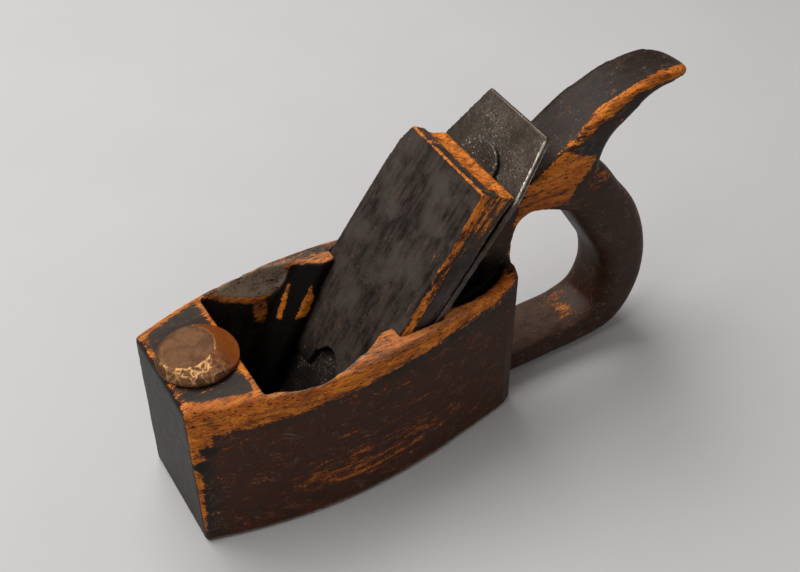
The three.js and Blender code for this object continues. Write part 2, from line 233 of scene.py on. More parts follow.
# ---- shader helper ----
class Shader:
    """Builds one node material out of numbers, colours and the outputs of its own nodes."""

    def __init__(self, name):
        self.material = bpy.data.materials.new(name)
        self.material.use_nodes = True
        self.tree = self.material.node_tree
        self.tree.nodes.clear()
        self.place = self.node("ShaderNodeTexCoord").outputs["Object"]

    def node(self, kind, settings=None, **inputs):
        made = self.tree.nodes.new(kind)
        for key, value in (settings or {}).items():
            setattr(made, key, value)
        for key, value in inputs.items():
            self.feed(made.inputs[key.replace("_", " ")], value)
        return made

    def feed(self, socket, value):
        if isinstance(value, bpy.types.NodeSocket):
            self.tree.links.new(value, socket)
        elif hasattr(value, "__len__") and socket.type == "RGBA":
            socket.default_value = (*value[:3], 1)
        else:
            socket.default_value = value

    def attribute(self, name):
        return self.node("ShaderNodeAttribute", {"attribute_name": name}).outputs["Fac"]

    def space(self, size, turn=(0, 0, 0), shift=(0, 0, 0)):
        """Object space, turned and then measured in units of size, in mm along each axis."""
        turned = self.node("ShaderNodeVectorRotate", {"rotation_type": "EULER_XYZ"}, Vector=self.place)
        turned.inputs["Rotation"].default_value = turn
        scaled = self.node("ShaderNodeVectorMath", {"operation": "MULTIPLY"})
        self.feed(scaled.inputs[0], turned.outputs[0])
        scaled.inputs[1].default_value = tuple(1 / (MM * s) for s in size)
        moved = self.node("ShaderNodeVectorMath", {"operation": "ADD"})
        self.feed(moved.inputs[0], scaled.outputs[0])
        moved.inputs[1].default_value = shift
        return moved.outputs[0]

    def noise(self, vector, detail=4.0, roughness=0.55, distortion=0.0):
        made = self.node("ShaderNodeTexNoise", Vector=vector, Scale=1.0, Detail=detail)
        made.inputs["Roughness"].default_value = roughness
        made.inputs["Distortion"].default_value = distortion
        return made.outputs[0]

    def cells(self, vector):
        """The distance to the nearest of scattered points."""
        made = self.node("ShaderNodeTexVoronoi", {"feature": "F1"}, Vector=vector, Scale=1.0)
        return made.outputs["Distance"]

    def math(self, operation, a, b=0.0, clamp=False):
        made = self.node("ShaderNodeMath", {"operation": operation, "use_clamp": clamp})
        self.feed(made.inputs[0], a)
        self.feed(made.inputs[1], b)
        return made.outputs[0]

    def total(self, *terms):
        """The sum of (value, weight) terms."""
        result = None
        for value, weight in terms:
            part = self.math("MULTIPLY", value, weight)
            result = part if result is None else self.math("ADD", result, part)
        return result

    def step(self, value, low, high):
        """A smooth rise from 0 at low to 1 at high."""
        made = self.node("ShaderNodeMapRange", {"interpolation_type": "SMOOTHSTEP"}, Value=value)
        made.inputs["From Min"].default_value = low
        made.inputs["From Max"].default_value = high
        return made.outputs[0]

    def scaled(self, value, low, high):
        """A value from 0 to 1 brought to low to high."""
        made = self.node("ShaderNodeMapRange", Value=value)
        made.inputs["To Min"].default_value = low
        made.inputs["To Max"].default_value = high
        return made.outputs[0]

    def mix(self, factor, a, b):
        made = self.node("ShaderNodeMix", {"data_type": "RGBA"})
        self.feed(made.inputs[0], factor)
        self.feed(made.inputs[6], a)
        self.feed(made.inputs[7], b)
        return made.outputs[2]

    def scratches(self, length, width, turn, seed, share):
        """Thin marks: 1 on a mark. Share is how much of the surface has them, from 0 to 1."""
        half_width = 0.035
        lines = self.noise(self.space((length, width, width), turn, (seed, -seed, seed)), detail=1.0)
        near_middle = self.math("ABSOLUTE", self.math("SUBTRACT", lines, 0.5))
        thin = self.math("SUBTRACT", 1.0, self.step(near_middle, 0.0, half_width))
        patches = self.noise(self.space((5, 5, 5), shift=(seed * 3, 0, 0)), detail=3.0)
        return self.math("MULTIPLY", thin, self.step(patches, 0.66 - 0.3 * share, 0.72 - 0.3 * share))

    def finish(self, colour, roughness, height, depth, metallic=0.0, specular=0.5):
        """The shader itself; a height of 1 in the bump stands for depth, in mm."""
        bump = self.node("ShaderNodeBump", Height=height, Distance=depth * MM, Strength=1.0)
        shader = self.node("ShaderNodeBsdfPrincipled", Base_Color=colour, Roughness=roughness)
        self.feed(shader.inputs["Metallic"], metallic)
        shader.inputs["Specular IOR Level"].default_value = specular
        self.feed(shader.inputs["Normal"], bump.outputs[0])
        out = self.node("ShaderNodeOutputMaterial")
        self.feed(out.inputs["Surface"], shader.outputs[0])
        return self.material


# ---- materials ----
PATINA_DARK = (0.0060, 0.0038, 0.0029)
PATINA_BROWN = (0.027, 0.0115, 0.0052)
PATINA_GREY = (0.024, 0.0165, 0.0125)
PATINA_WARM = (0.0460, 0.0125, 0.0040)
WEDGE_BROWN = (0.045, 0.0330, 0.0270)
WEDGE_GREY = (0.062, 0.0490, 0.0410)
FRINGE = (0.095, 0.020, 0.0075)
BARE_DARK = (0.110, 0.0260, 0.0040)
BARE_DEEP = (0.350, 0.075, 0.0060)
BARE_LIGHT = (0.800, 0.255, 0.0260)
BARE_RED = (0.130, 0.030, 0.0080)
# Grime, and also the colour of the shade painted in the throat, in corners and in the hollows beside the
# neck.
GRIME_AND_SHADE = (0.0035, 0.0025, 0.0020)
# Pale dust, and also the colour of the sheen and highlights painted on some edges.
DUST_AND_SHEEN = (0.290, 0.205, 0.145)
RUBBED_MARK = (0.17, 0.110, 0.075)

STEEL_DULL = (0.058, 0.043, 0.032)
STEEL_LIGHT = (0.125, 0.099, 0.080)
# The next colour is also the highlight painted on the irons' edges.
STEEL_BRIGHT = (0.50, 0.45, 0.39)
RUST = (0.060, 0.033, 0.020)
PIT = (0.016, 0.011, 0.008)

BRASS_DULL = (0.092, 0.041, 0.0185)
BRASS_LIGHT = (0.170, 0.083, 0.040)
BRASS_ORANGE = (0.26, 0.066, 0.0065)
BRASS_SPECK = (0.05, 0.024, 0.011)
# The next colour is the highlight painted on the button's creased rim.
BRASS_BRIGHT = (0.42, 0.225, 0.088)


def bare_wood(s, streaks, fibres, mottle, turn):
    """The orange wood under the patina: dark streaks, and open pores with specks of old finish."""
    tone = s.total((streaks, 0.4), (fibres, 0.35), (mottle, 0.25))
    wood = s.mix(s.step(tone, 0.40, 0.62), BARE_DEEP, BARE_LIGHT)
    broad = s.noise(s.space((14, 3.4, 3.4), turn, (7, 2, 9)), 3.0, 0.6)
    wood = s.mix(s.math("MULTIPLY", s.step(broad, 0.50, 0.66), 0.65), wood, BARE_DARK)
    dashes = s.noise(s.space((2.6, 0.55, 0.55), turn, (1, 8, 3)), 2.0, 0.6)
    pores = s.math("MAXIMUM", s.step(fibres, 0.57, 0.66), s.step(dashes, 0.575, 0.62))
    wood = s.mix(s.math("MULTIPLY", s.attribute("warm"), 0.6), wood, BARE_RED)
    return s.mix(s.math("MULTIPLY", pores, 0.85), wood, PATINA_DARK)


def worn_wood(name, turn, brown, grey, flecking):
    """Dark polished wood, rubbed through to bare orange wood where the wear attribute is high, and darkened
    by grime and painted shade.

    Turn lines the grain up with the piece's length. Brown and grey are the patina's tints, and flecking is
    the strength of its small light marks."""
    s = Shader(name)
    wear_and_highlight = s.attribute("wear_and_highlight")
    grime_and_shade = s.attribute("grime_and_shade")
    dust_and_sheen = s.attribute("dust_and_sheen")
    streaks = s.noise(s.space((24, 1.7, 1.7), turn), 6.0, 0.62, 0.3)
    fibres = s.noise(s.space((6, 0.34, 0.34), turn), 3.0, 0.6)
    mottle = s.noise(s.space((6, 4, 4), turn), 6.0, 0.68)
    grit = s.noise(s.space((0.9, 0.7, 0.7), turn), 3.0, 0.6)

    level = s.total((wear_and_highlight, 1.0), (streaks, 1.4), (mottle, 1.2), (fibres, 0.8), (grit, 0.8))
    bare = s.step(level, 2.53, 2.62)
    fringe = s.step(level, 2.36, 2.58)

    tone = s.total((mottle, 0.5), (streaks, 0.5))
    patina = s.mix(s.step(tone, 0.36, 0.64), PATINA_DARK, brown)
    clouds = s.noise(s.space((16, 12, 12), shift=(4, 1, 7)), 4.0)
    patina = s.mix(s.math("MULTIPLY", s.step(clouds, 0.38, 0.70), 0.8), patina, grey)
    warm = s.math("MULTIPLY", s.attribute("warm"), s.step(tone, 0.18, 0.58))
    patina = s.mix(warm, patina, PATINA_WARM)
    patina = s.mix(s.math("MULTIPLY", fringe, 0.8), patina, FRINGE)
    colour = s.mix(bare, patina, bare_wood(s, streaks, fibres, mottle, turn))

    marks = s.math("MAXIMUM", s.scratches(16, 2.0, (0.0, 0.45, 0.0), 3, 0.35),
                   s.scratches(9, 1.3, (0.5, -0.6, -0.4), 8, 0.35))
    flecks = s.math("MULTIPLY", s.step(grit, 0.62, 0.70), s.step(mottle, 0.45, 0.60))
    light_marks = s.math("MAXIMUM", s.math("MULTIPLY", marks, 0.6), flecks)
    clean = s.math("SUBTRACT", 1.0, s.math("MAXIMUM", bare, grime_and_shade), clamp=True)
    light_marks = s.math("MULTIPLY", light_marks, clean)
    colour = s.mix(s.math("MULTIPLY", light_marks, flecking), colour, RUBBED_MARK)

    # Pale dust and painted sheen and highlights lighten the colour.
    dust_and_sheen_patches = s.math("MULTIPLY", dust_and_sheen, s.step(s.total((mottle, 0.6), (grit, 0.4)), 0.34, 0.54))
    colour = s.mix(s.math("MULTIPLY", dust_and_sheen_patches, 0.85), colour, DUST_AND_SHEEN)
    # Grime and painted shade darken the colour.
    colour = s.mix(grime_and_shade, colour, GRIME_AND_SHADE)

    rough = s.total((mottle, 0.28), (grit, 0.18), (bare, 0.18), (dust_and_sheen_patches, 0.25), (light_marks, 0.1))
    roughness = s.math("ADD", rough, 0.25)
    height = s.total(
        (fibres, 0.20), (mottle, 0.55), (grit, 0.25), (bare, -0.4), (light_marks, -0.3), (dust_and_sheen_patches, 0.2)
    )
    return s.finish(colour, roughness, height, 0.20, specular=0.17)


def pitted_steel(name, turn, brightness):
    """Brown pitted steel, with a highlight painted where the wear and highlight attribute is high, rougher
    where "pitted" is.
    """
    s = Shader(name)
    wear_and_highlight = s.attribute("wear_and_highlight")
    clouds = s.noise(s.space((9, 9, 9)), 6.0, 0.65, 0.4)
    grit = s.noise(s.space((0.9, 0.9, 0.9)), 4.0, 0.6)
    pitted = s.attribute("pitted")
    pits = s.step(s.cells(s.space((1.1, 1.1, 1.1))), 0.36, 0.14)
    pits = s.math("MULTIPLY", pits, s.step(s.total((clouds, 1.0), (pitted, 0.2)), 0.47, 0.58))
    brushed = s.noise(s.space((0.5, 14, 0.5), turn), 3.0)
    tone = s.total((clouds, 0.6), (grit, 0.25), (brushed, 0.15))
    dull = tuple(brightness * c for c in STEEL_DULL)
    light = tuple(brightness * c for c in STEEL_LIGHT)
    colour = s.mix(s.step(tone, 0.38, 0.62), dull, light)
    rust = s.step(s.total((clouds, 0.6), (grit, 0.4)), 0.54, 0.66)
    colour = s.mix(s.math("MULTIPLY", rust, 0.6), colour, RUST)
    colour = s.mix(s.math("MULTIPLY", pits, 0.8), colour, PIT)
    flecked = s.step(s.total((clouds, 1.0), (pitted, 0.14)), 0.48, 0.6)
    specks = s.math("MULTIPLY", s.step(grit, 0.60, 0.68), flecked)
    # Painted highlight on the marked edges; a few random specks get the same bright colour.
    bright = s.step(s.total((wear_and_highlight, 1.0), (grit, 0.6), (clouds, 0.4)), 0.90, 1.15)
    colour = s.mix(s.math("MAXIMUM", bright, s.math("MULTIPLY", specks, 0.6)), colour, STEEL_BRIGHT)
    rough = s.total((rust, 0.2), (pits, 0.2), (grit, 0.2), (bright, -0.14))
    metallic = s.math("SUBTRACT", 0.92, s.math("MULTIPLY", s.math("MAXIMUM", rust, pits), 0.5))
    height = s.total((pits, -0.8), (grit, 0.35), (clouds, 0.6), (brushed, 0.06))
    return s.finish(colour, s.math("ADD", rough, 0.36), height, 0.14, metallic)


def hammered_brass(name):
    """Brown brass, with highlights painted where the wear and highlight attribute is high, orange where
    "slope" is.
    """
    s = Shader(name)
    wear_and_highlight = s.attribute("wear_and_highlight")
    clouds = s.noise(s.space((4, 4, 4)), 5.0, 0.6, 0.5)
    grit = s.noise(s.space((0.5, 0.5, 0.5)), 3.0, 0.6)
    slope = s.attribute("slope")
    colour = s.mix(s.step(clouds, 0.35, 0.65), BRASS_DULL, BRASS_LIGHT)
    colour = s.mix(slope, colour, BRASS_ORANGE)
    colour = s.mix(s.math("MULTIPLY", s.step(grit, 0.6, 0.7), 0.6), colour, BRASS_SPECK)
    # Painted highlights on the creased rim.
    bright = s.step(s.total((wear_and_highlight, 1.0), (grit, 0.6), (clouds, 0.5)), 0.82, 1.15)
    colour = s.mix(bright, colour, BRASS_BRIGHT)
    rough = s.total((clouds, 0.2), (grit, 0.2), (bright, -0.08))
    height = s.total((clouds, 0.5), (grit, 0.4))
    return s.finish(colour, s.math("ADD", rough, 0.42), height, 0.12, 0.85)


def plain_metal(name, dull, light):
    """Small fittings: turned metal with a little tarnish."""
    s = Shader(name)
    clouds = s.noise(s.space((3, 3, 3)), 5.0, 0.6)
    grit = s.noise(s.space((0.4, 0.4, 0.4)), 3.0, 0.6)
    colour = s.mix(s.step(s.total((clouds, 0.7), (grit, 0.3)), 0.36, 0.62), dull, light)
    height = s.total((clouds, 0.6), (grit, 0.4))
    return s.finish(colour, s.scaled(clouds, 0.3, 0.6), height, 0.06, 0.95)


# ---- stock ----
def stock():
    """The body, neck, horn and loop: edges softened, then chipped and worn."""
    piece = refined("stock", "carved_stock", STOCK_VOXEL, "body")
    surface = Surface(piece)
    x, y, z = surface.points.T
    above = smoothstep(66, 74, z) * smoothstep(14, 4, x)
    behind = smoothstep(HEEL + 1, HEEL - 6, x)
    handle = np.maximum(above, behind)
    surface.rounded(5)
    surface.rounded(14, handle)
    horn = handle * smoothstep(HORN_FROM, HORN_FULL, z)
    scoop_edges = smoothstep(4.5, 3, np.abs(np.abs(y) - THROAT_SIDE - 1.5)) * smoothstep(50, 56, z)
    scoop_edges *= smoothstep(32, 38, x) * smoothstep(BREAST + 3, BREAST, x)
    surface.points = surface.smoothed(surface.points, 7, np.maximum(horn, 0.7 * scoop_edges))
    surface.points = surface.smoothed(surface.points, 12, horn * smoothstep(-72, -62, x))

    normals = surface.normals()
    knocks = smoothstep(0.1, 0.9, rough_field(surface.points, 3.0, 1))
    throat_edges = smoothstep(3.5, 2, np.abs(np.abs(y) - THROAT_SIDE)) * smoothstep(40, 44, z)
    chips = knocks * smoothstep(0.12, 0.5, surface.ridge(16)) * (1 - 0.8 * handle)
    chips *= 1 - 0.7 * smoothstep(58, 62, z) * (1 - handle)
    chips *= 1 - throat_edges * (1 - handle)
    lumps = rough_field(surface.points, 17, 2)
    surface.points -= normals * (STOCK_CHIPS * chips + STOCK_SWELL * lumps)[:, None]
    surface.points = np.clip(surface.points, STOCK_LOW, STOCK_HIGH)
    stock_wear(surface, handle)
    surface.write()
    piece.data.materials.append(worn_wood("stock_wood", (0, 0, 0), PATINA_BROWN, PATINA_GREY, 0.75))


def stock_wear(surface, handle):
    """Where the stock is rubbed bare, grimy, dusty or redder than the rest, and where shade, sheen and
    highlights are painted.
    """
    points = surface.points
    fine = surface.ridge(10)
    wide = surface.ridge(50)
    normals = surface.normals()
    x, _, z = points.T
    inside, outside, scoop = stock_zones(points, normals)
    rim = scoop_rim(points, surface.ridge(7))
    wear_and_highlight = body_wear(points, normals, inside, outside) + handle_wear(points, normals, fine)
    edge = smoothstep(0.05, 0.3, fine) * 0.45
    edge *= (1 - 0.85 * inside) * (1 - handle) * smoothstep(2, 8, z)
    edge *= 1 - 0.8 * smoothstep(0.5, 0.2, np.abs(normals[:, 1])) * smoothstep(TOE - 4, TOE - 2, x)
    dent = near_dent(points)
    wear_and_highlight = np.maximum((wear_and_highlight + edge) * (1 - scoop), rim) - 1.5 * dent
    surface.attribute("wear_and_highlight", wear_and_highlight)

    # Painted shade: the throat's walls, except where rubbed bare, and the concave corners are darkened
    # where shade falls. The bruise is a real dark mark; the land and the toe face are darkened too.
    throat_shade = inside * smoothstep(0.75, 0.35, wear_and_highlight)
    corners = smoothstep(-0.2, -0.9, wide) * (1 - scoop)
    land = 0.3 * smoothstep(BREAST - 1, BREAST + 2, x) * smoothstep(61, 63, z)
    land *= smoothstep(0.5, 0.3, wear_and_highlight)
    toe_face = 0.6 * smoothstep(0.8, 0.95, normals[:, 0]) * smoothstep(TOE - 1, TOE - 0.3, x)
    dirt_and_shade = [0.95 * throat_shade, 0.6 * corners, neck_pocket_shade(points), 0.8 * dent, land, toe_face]
    surface.attribute("grime_and_shade", np.maximum.reduce(dirt_and_shade))
    surface.attribute("dust_and_sheen", dust_and_painted_sheen(points, normals, scoop * (1 - rim), handle))
    surface.attribute("warm", side_warmth(points, outside, handle))


def stock_zones(points, normals):
    """1 on the throat's walls, on the body's outer sides, and in the scoops of the cheeks."""
    x, y, z = points.T
    side = np.abs(y)
    body = smoothstep(HEEL - 1, HEEL + 1, x)
    inwards = -np.sign(y) * normals[:, 1]
    scoop = body * smoothstep(THROAT_SIDE - 0.2, THROAT_SIDE + 0.5, side)
    scoop *= smoothstep(0.05, 0.3, inwards)
    scoop *= smoothstep(BREAST + 1, BREAST - 2, x) * smoothstep(38, 42, x)
    inside = smoothstep(6, 12, x) * smoothstep(THROAT_SIDE + 0.7, THROAT_SIDE + 0.2, side)
    inside *= smoothstep(63.6, 62.4, z) * (1 - scoop) * smoothstep(-0.6, -0.25, inwards)
    inside *= smoothstep(BREAST + 1.5, BREAST + 0.2, x + (BODY_TOP - z) * 0.02)
    outside = body * smoothstep(-0.3, -0.7, inwards) * smoothstep(18, 20, side)
    return inside * smoothstep(-0.8, -0.5, normals[:, 2]), outside, scoop


def scoop_rim(points, sharp):
    """The scoops' lower edges, chipped to bare wood, more so towards the rear."""
    x, y, z = points.T
    ragged = 0.35 * rough_field(points, 2.5, 31)
    rim = smoothstep(0.02, 0.08, sharp + 0.05 * ragged)
    rim *= smoothstep(THROAT_SIDE + 1.7, THROAT_SIDE + 0.7, np.abs(y) + ragged)
    rim *= smoothstep(43, 46, z) * smoothstep(64.5, 62.5, z)
    rim *= smoothstep(36, 39, x) * smoothstep(BREAST + 0.5, BREAST - 2, x)
    return rim * (1.0 - 0.25 * smoothstep(52, 68, x))


def near_dent(points):
    """A dark round bruise in the worn corner between the left side and the toe."""
    spot = blob(points, *BRUISE) + 0.8 * blob(points, *BRUISE_TAIL)
    return smoothstep(0.02, 0.3, spot + 0.22 * rough_field(points, 2.4, 51) * (spot > 0))


def side_warmth(points, outside, handle):
    """The sides below the worn band, and the loop below the horn, are redder than the rest."""
    x, _, z = points.T
    below = smoothstep(6, 16, BODY_TOP - z) * smoothstep(TOE - 2, TOE - 10, x)
    return np.maximum(outside * below, 0.6 * handle * smoothstep(HORN_FULL, HORN_FROM, z))


def dust_and_painted_sheen(points, normals, scoop, handle):
    """Pale dust in the scoops; a sheen painted along the cheeks' top edges, and highlights painted on the
    sole's edge and on the top of the loop's lower rail.
    """
    x, y, z = points.T
    # A pinkish-grey sheen is painted along the cheeks' rounded top edges.
    top_edge = smoothstep(61.2, 62.6, z) * smoothstep(0.3, 0.6, normals[:, 2]) * (1 - handle)
    cheek = top_edge * smoothstep(15, 18, np.abs(y)) * smoothstep(-10, 10, x)
    cheek *= 1 - 0.6 * smoothstep(BREAST - 4, BREAST + 4, x)
    # A highlight painted along the sole's bevelled edge.
    sole_edge_highlight = smoothstep(2.0, 1.0, z) * smoothstep(-0.95, -0.5, normals[:, 2])
    sole_edge_highlight *= smoothstep(HEEL - 1, HEEL, x)
    return np.maximum.reduce([scoop, 0.28 * cheek, 0.9 * sole_edge_highlight, 0.18 * rail_top_highlight(points, normals)])


def body_wear(points, normals, inside, outside):
    """The rubbed parts of the body. The left cheek is worn more than the right one."""
    folded = both_sides(points)
    wear_and_highlight = np.maximum(side_wear(points, outside), 0.8 * toe_corner(points, outside))
    wear_and_highlight = wear_and_highlight + top_wear(points, normals)
    streaks = 0.22 * outside * smoothstep(0, 0.5, blob(folded, *SIDE_STREAKS))
    wall_patch = 0.78 * smoothstep(0, 0.5, blob(folded, *WALL_PATCH))
    foot = 0.5 * inside * blob(folded, *IRON_FOOT)
    toe_face = smoothstep(0.8, 0.95, normals[:, 0]) * smoothstep(TOE - 1, TOE, points[:, 0]) * 0.9
    return np.maximum(wear_and_highlight + streaks - toe_face, 0) * (1 - inside) + wall_patch + foot


def side_wear(points, outside):
    """A band under each top edge, deepest at the toe."""
    x, _, z = points.T
    depth = BODY_TOP - z
    band = 4.5 + 6.5 * smoothstep(HEEL, TOE, x)
    heel_fade = smoothstep(HEEL + 3, HEEL + 18, x)
    return outside * (1.05 - 0.9 * smoothstep(band - 3, band + 3.5, depth)) * (0.12 + 0.88 * heel_fade)


def toe_corner(points, outside):
    """The upright corners between the sides and the toe, worn wider towards the top."""
    x, _, z = points.T
    reach = 2.2 + 5.0 * smoothstep(34, 50, z)
    return outside * smoothstep(reach + 1.5, reach - 1.5, TOE - x) * smoothstep(12, 24, z)


def top_wear(points, normals):
    """The cheeks' tops, and the rims of the land in front of the throat."""
    x, y, z = points.T
    side = np.abs(y)
    left = smoothstep(-2, 2, y)
    top = smoothstep(0.5, 0.9, normals[:, 2]) * smoothstep(61, 63, z)
    top *= smoothstep(HEEL - 1, HEEL + 2, x)
    cheek = top * smoothstep(BREAST + 1, BREAST - 1, x) * smoothstep(17, 19, side)
    inner = smoothstep(THROAT_SIDE + 1.4, THROAT_SIDE - 0.4, side) * smoothstep(24, 32, x)
    heel = smoothstep(14, -6, x)
    cheek *= left * (0.66 - 0.5 * heel) + (1 - left) * (0.08 + 0.5 * inner)

    land = top * smoothstep(BREAST - 1, BREAST + 1, x)
    from_side = np.interp(x, [BREAST, BREAST + 7, TOE], [24.6, 23.1, 17.3]) - side
    rims = [
        smoothstep(3.2, 0.8, x - BREAST) * (0.65 + 0.35 * left),
        0.30 * smoothstep(2.6, 0.8, TOE - 1.5 - x),
        smoothstep(1.6, -0.4, from_side - 1.4 * left),
    ]
    return cheek + land * (0.16 + 0.72 * np.maximum.reduce(rims))


def handle_wear(points, normals, fine):
    """The neck's sides, the horn's front edge, and where the hand meets the loop."""
    x, y, z = points.T
    left = smoothstep(-2, 2, y)
    folded = both_sides(points)
    flank = smoothstep(0.45, 0.8, np.abs(normals[:, 1]))
    ragged = np.stack([x, z], 1) + 0.9 * rough_field(points, 6, 41)[:, None]
    neck = 0.95 * within(ragged, NECK_RUBBED, 3) * flank
    horn = smoothstep(95, 99, z) * smoothstep(-34, -46, x)
    front_edge = horn * smoothstep(0.02, 0.14, fine) * smoothstep(-0.2, 0.15, normals[:, 2])
    front_edge *= (0.40 + 0.65 * smoothstep(-46, -66, x)) * (0.08 + 0.92 * left)
    neck_front = 0.6 * smoothstep(0.08, 0.3, fine) * smoothstep(80, 84, z) * smoothstep(-6, -16, x)
    neck_front *= (1 - horn) * (0.4 + 0.6 * left)
    grip = smoothstep(HEEL - 40, HEEL - 54, x) * smoothstep(92, 80, z)
    grip_back = 0.46 * smoothstep(-0.1, -0.85, normals[:, 0]) * grip
    grip_root = 0.42 * flank * blob(folded, *GRIP_ROOT)
    rail = 0.55 * blob(folded, *RAIL_MIDDLE)
    heel = 0.75 * smoothstep(0, 0.4, blob(folded, *HEEL_CORNER))
    return neck + front_edge + neck_front + grip_back + grip_root + rail + heel


def neck_pocket_shade(points):
    """The hollows either side of the neck, behind the iron, where shade is painted."""
    centre, reach = NECK_HOLLOW
    return smoothstep(1, 0.7, np.linalg.norm((both_sides(points) - centre) / reach, axis=1))


def rail_top_highlight(points, normals):
    """The upper face of the loop's lower rail, where a highlight is painted."""
    x, _, z = points.T
    rail = smoothstep(HEEL - 1, HEEL - 4, x) * smoothstep(-72, -60, x) * smoothstep(30, 20, z)
    return rail * smoothstep(0.3, 0.8, normals[:, 2])


# ---- wedge ----
def wedge():
    """The wedge, with its left front edge worn to a bevel."""
    piece = refined("wedge", "forked_wedge", WEDGE_VOXEL, "wedge")
    surface = Surface(piece)
    surface.rounded(2)
    low, high = surface.points.min(0), surface.points.max(0)
    facet = bevel_wedge(surface)
    surface.rounded(1)

    normals = surface.normals()
    edges = surface.ridge(14)
    chips = smoothstep(0.1, 0.9, rough_field(surface.points, 2.2, 7)) * smoothstep(0.1, 0.4, edges)
    lumps = rough_field(surface.points, 14, 8)
    surface.points -= normals * (WEDGE_CHIPS * chips + WEDGE_SWELL * lumps)[:, None]
    surface.points = np.clip(surface.points, low, high)
    surface.attribute("wear_and_highlight", wedge_wear(surface, facet))
    # Painted shade: the wedge is darkened towards its lower end, down in the throat.
    surface.attribute("grime_and_shade", 0.8 * smoothstep(42, 30, surface.points[:, 2]))
    surface.attribute("dust_and_sheen", np.zeros(len(surface.points)))
    surface.attribute("warm", np.zeros(len(surface.points)))
    surface.write()
    grain = (0, -BED_ANGLE, 0)
    piece.data.materials.append(worn_wood("wedge_wood", grain, WEDGE_BROWN, WEDGE_GREY, 0.3))


def bevel_wedge(surface):
    """Wears the left front edge to an uneven bevel, mostly on the side. Returns 1 on the bevel."""
    points = surface.points
    along = (points - CUTTING_EDGE) @ UP_BED - BED_LENGTH
    upper = np.clip(along / 40, 0, 1)
    front = (points @ WEDGE_FRONT).max() - points @ WEDGE_FRONT
    side = np.interp(along, WEDGE_STATIONS, WEDGE_HALF_WIDTHS) - points[:, 1]
    ragged = rough_field(points, 4.0, 5)
    down = 2.9 - 0.7 * upper + 0.45 * ragged
    across = 1.1 + 0.2 * upper + 0.2 * ragged
    inside = np.clip(front, 0, None) / down + np.clip(side, 0, None) / across
    steep = np.hypot(down, across)
    depth = np.clip(1 - inside, 0, 1) * down * across / steep
    direction = (WEDGE_FRONT * across[:, None] + np.array([0, 1, 0]) * down[:, None]) / steep[:, None]
    surface.points = points - direction * depth[:, None]
    return smoothstep(1.15, 0.95, inside)


def wedge_wear(surface, facet):
    """The bevel, the hollow and the ridges of the top end, and the left side near it."""
    points = surface.points
    normals = surface.normals()
    fine = surface.ridge(3)
    along = (points - CUTTING_EDGE) @ UP_BED
    above = (points - CUTTING_EDGE) @ OFF_BED
    end, front = along.max(), above.max()
    top = smoothstep(end - 9, end - 5, along) * smoothstep(0.1, 0.45, normals @ UP_BED)
    cove = top * smoothstep(front - 4.2, front - 5.6, above) * smoothstep(18, 17, points[:, 1])
    ridge = 0.95 * smoothstep(0.02, 0.07, fine) * smoothstep(end - 6, end - 4, along)
    ridge *= smoothstep(front - 2.5, front - 1, above)
    brow = 0.22 * top * smoothstep(front - 6, front - 5, above)
    land = 0.62 * top * smoothstep(17.4, 18, points[:, 1]) * smoothstep(front - 5, front - 7, above)
    side = 0.36 * smoothstep(0.6, 0.9, normals[:, 1]) * smoothstep(end - 34, end - 12, along)
    bevel = facet * (0.52 + 0.12 * smoothstep(end - 50, end - 10, along))
    return np.maximum.reduce([bevel, 0.88 * cove, ridge, brow, land, side])


# ---- iron, cap iron and fittings ----
def plate(node, name, slot, body, brightness, pitting, edge_highlight):
    """One of the irons. Pitting is its pits' depth in mm; the last argument gives, for the points, the
    strength of the highlight painted on the sharp edges.
    """
    piece = refined(node, name, PLATE_VOXEL, body)
    surface = Surface(piece)
    surface.rounded(2)
    normals = surface.normals()
    sharp = smoothstep(0.05, 0.22, surface.ridge(8))
    pits = smoothstep(0.15, 0.9, rough_field(surface.points, 2.2, 11))
    pits = pits + 0.4 * rough_field(surface.points, 9, 12)
    surface.points = surface.points - normals * (pitting * np.clip(pits, -0.2, 1))[:, None]
    # A highlight is painted on the sharp edges.
    surface.attribute("wear_and_highlight", sharp * edge_highlight(surface.points))
    cap_end = blob(surface.points, CUTTING_EDGE + CAP_END * UP_BED, (26, 20, 26))
    surface.attribute("pitted", smoothstep(0, 0.6, cap_end))
    surface.write()
    piece.data.materials.append(pitted_steel(slot, (0, -BED_ANGLE, 0), brightness))


def iron_edge_highlight(points):
    """The highlight painted on the iron's edges is strongest on its left clipped edge, fainter on its end
    and its long sides.
    """
    along = (points - CUTTING_EDGE) @ UP_BED
    start, full, fading, end = CLIPPED
    clipped = smoothstep(start, full, along) * smoothstep(end, fading, along)
    clipped *= smoothstep(14, 17, points[:, 1])
    return 0.38 + 0.62 * clipped


def cap_edge_highlight(points):
    """A faint highlight is painted on all of the cap iron's edges."""
    return np.full(len(points), 0.35)


def fittings():
    """The cap iron's boss and screw keep their CAD shapes."""
    brass = plain_metal("nut_brass", (0.12, 0.065, 0.027), (0.30, 0.19, 0.085))
    steel = plain_metal("screw_steel", (0.05, 0.042, 0.037), (0.16, 0.14, 0.12))
    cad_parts["cap_iron_nut"].data.materials[0] = brass
    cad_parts["cap_screw"].data.materials[0] = steel


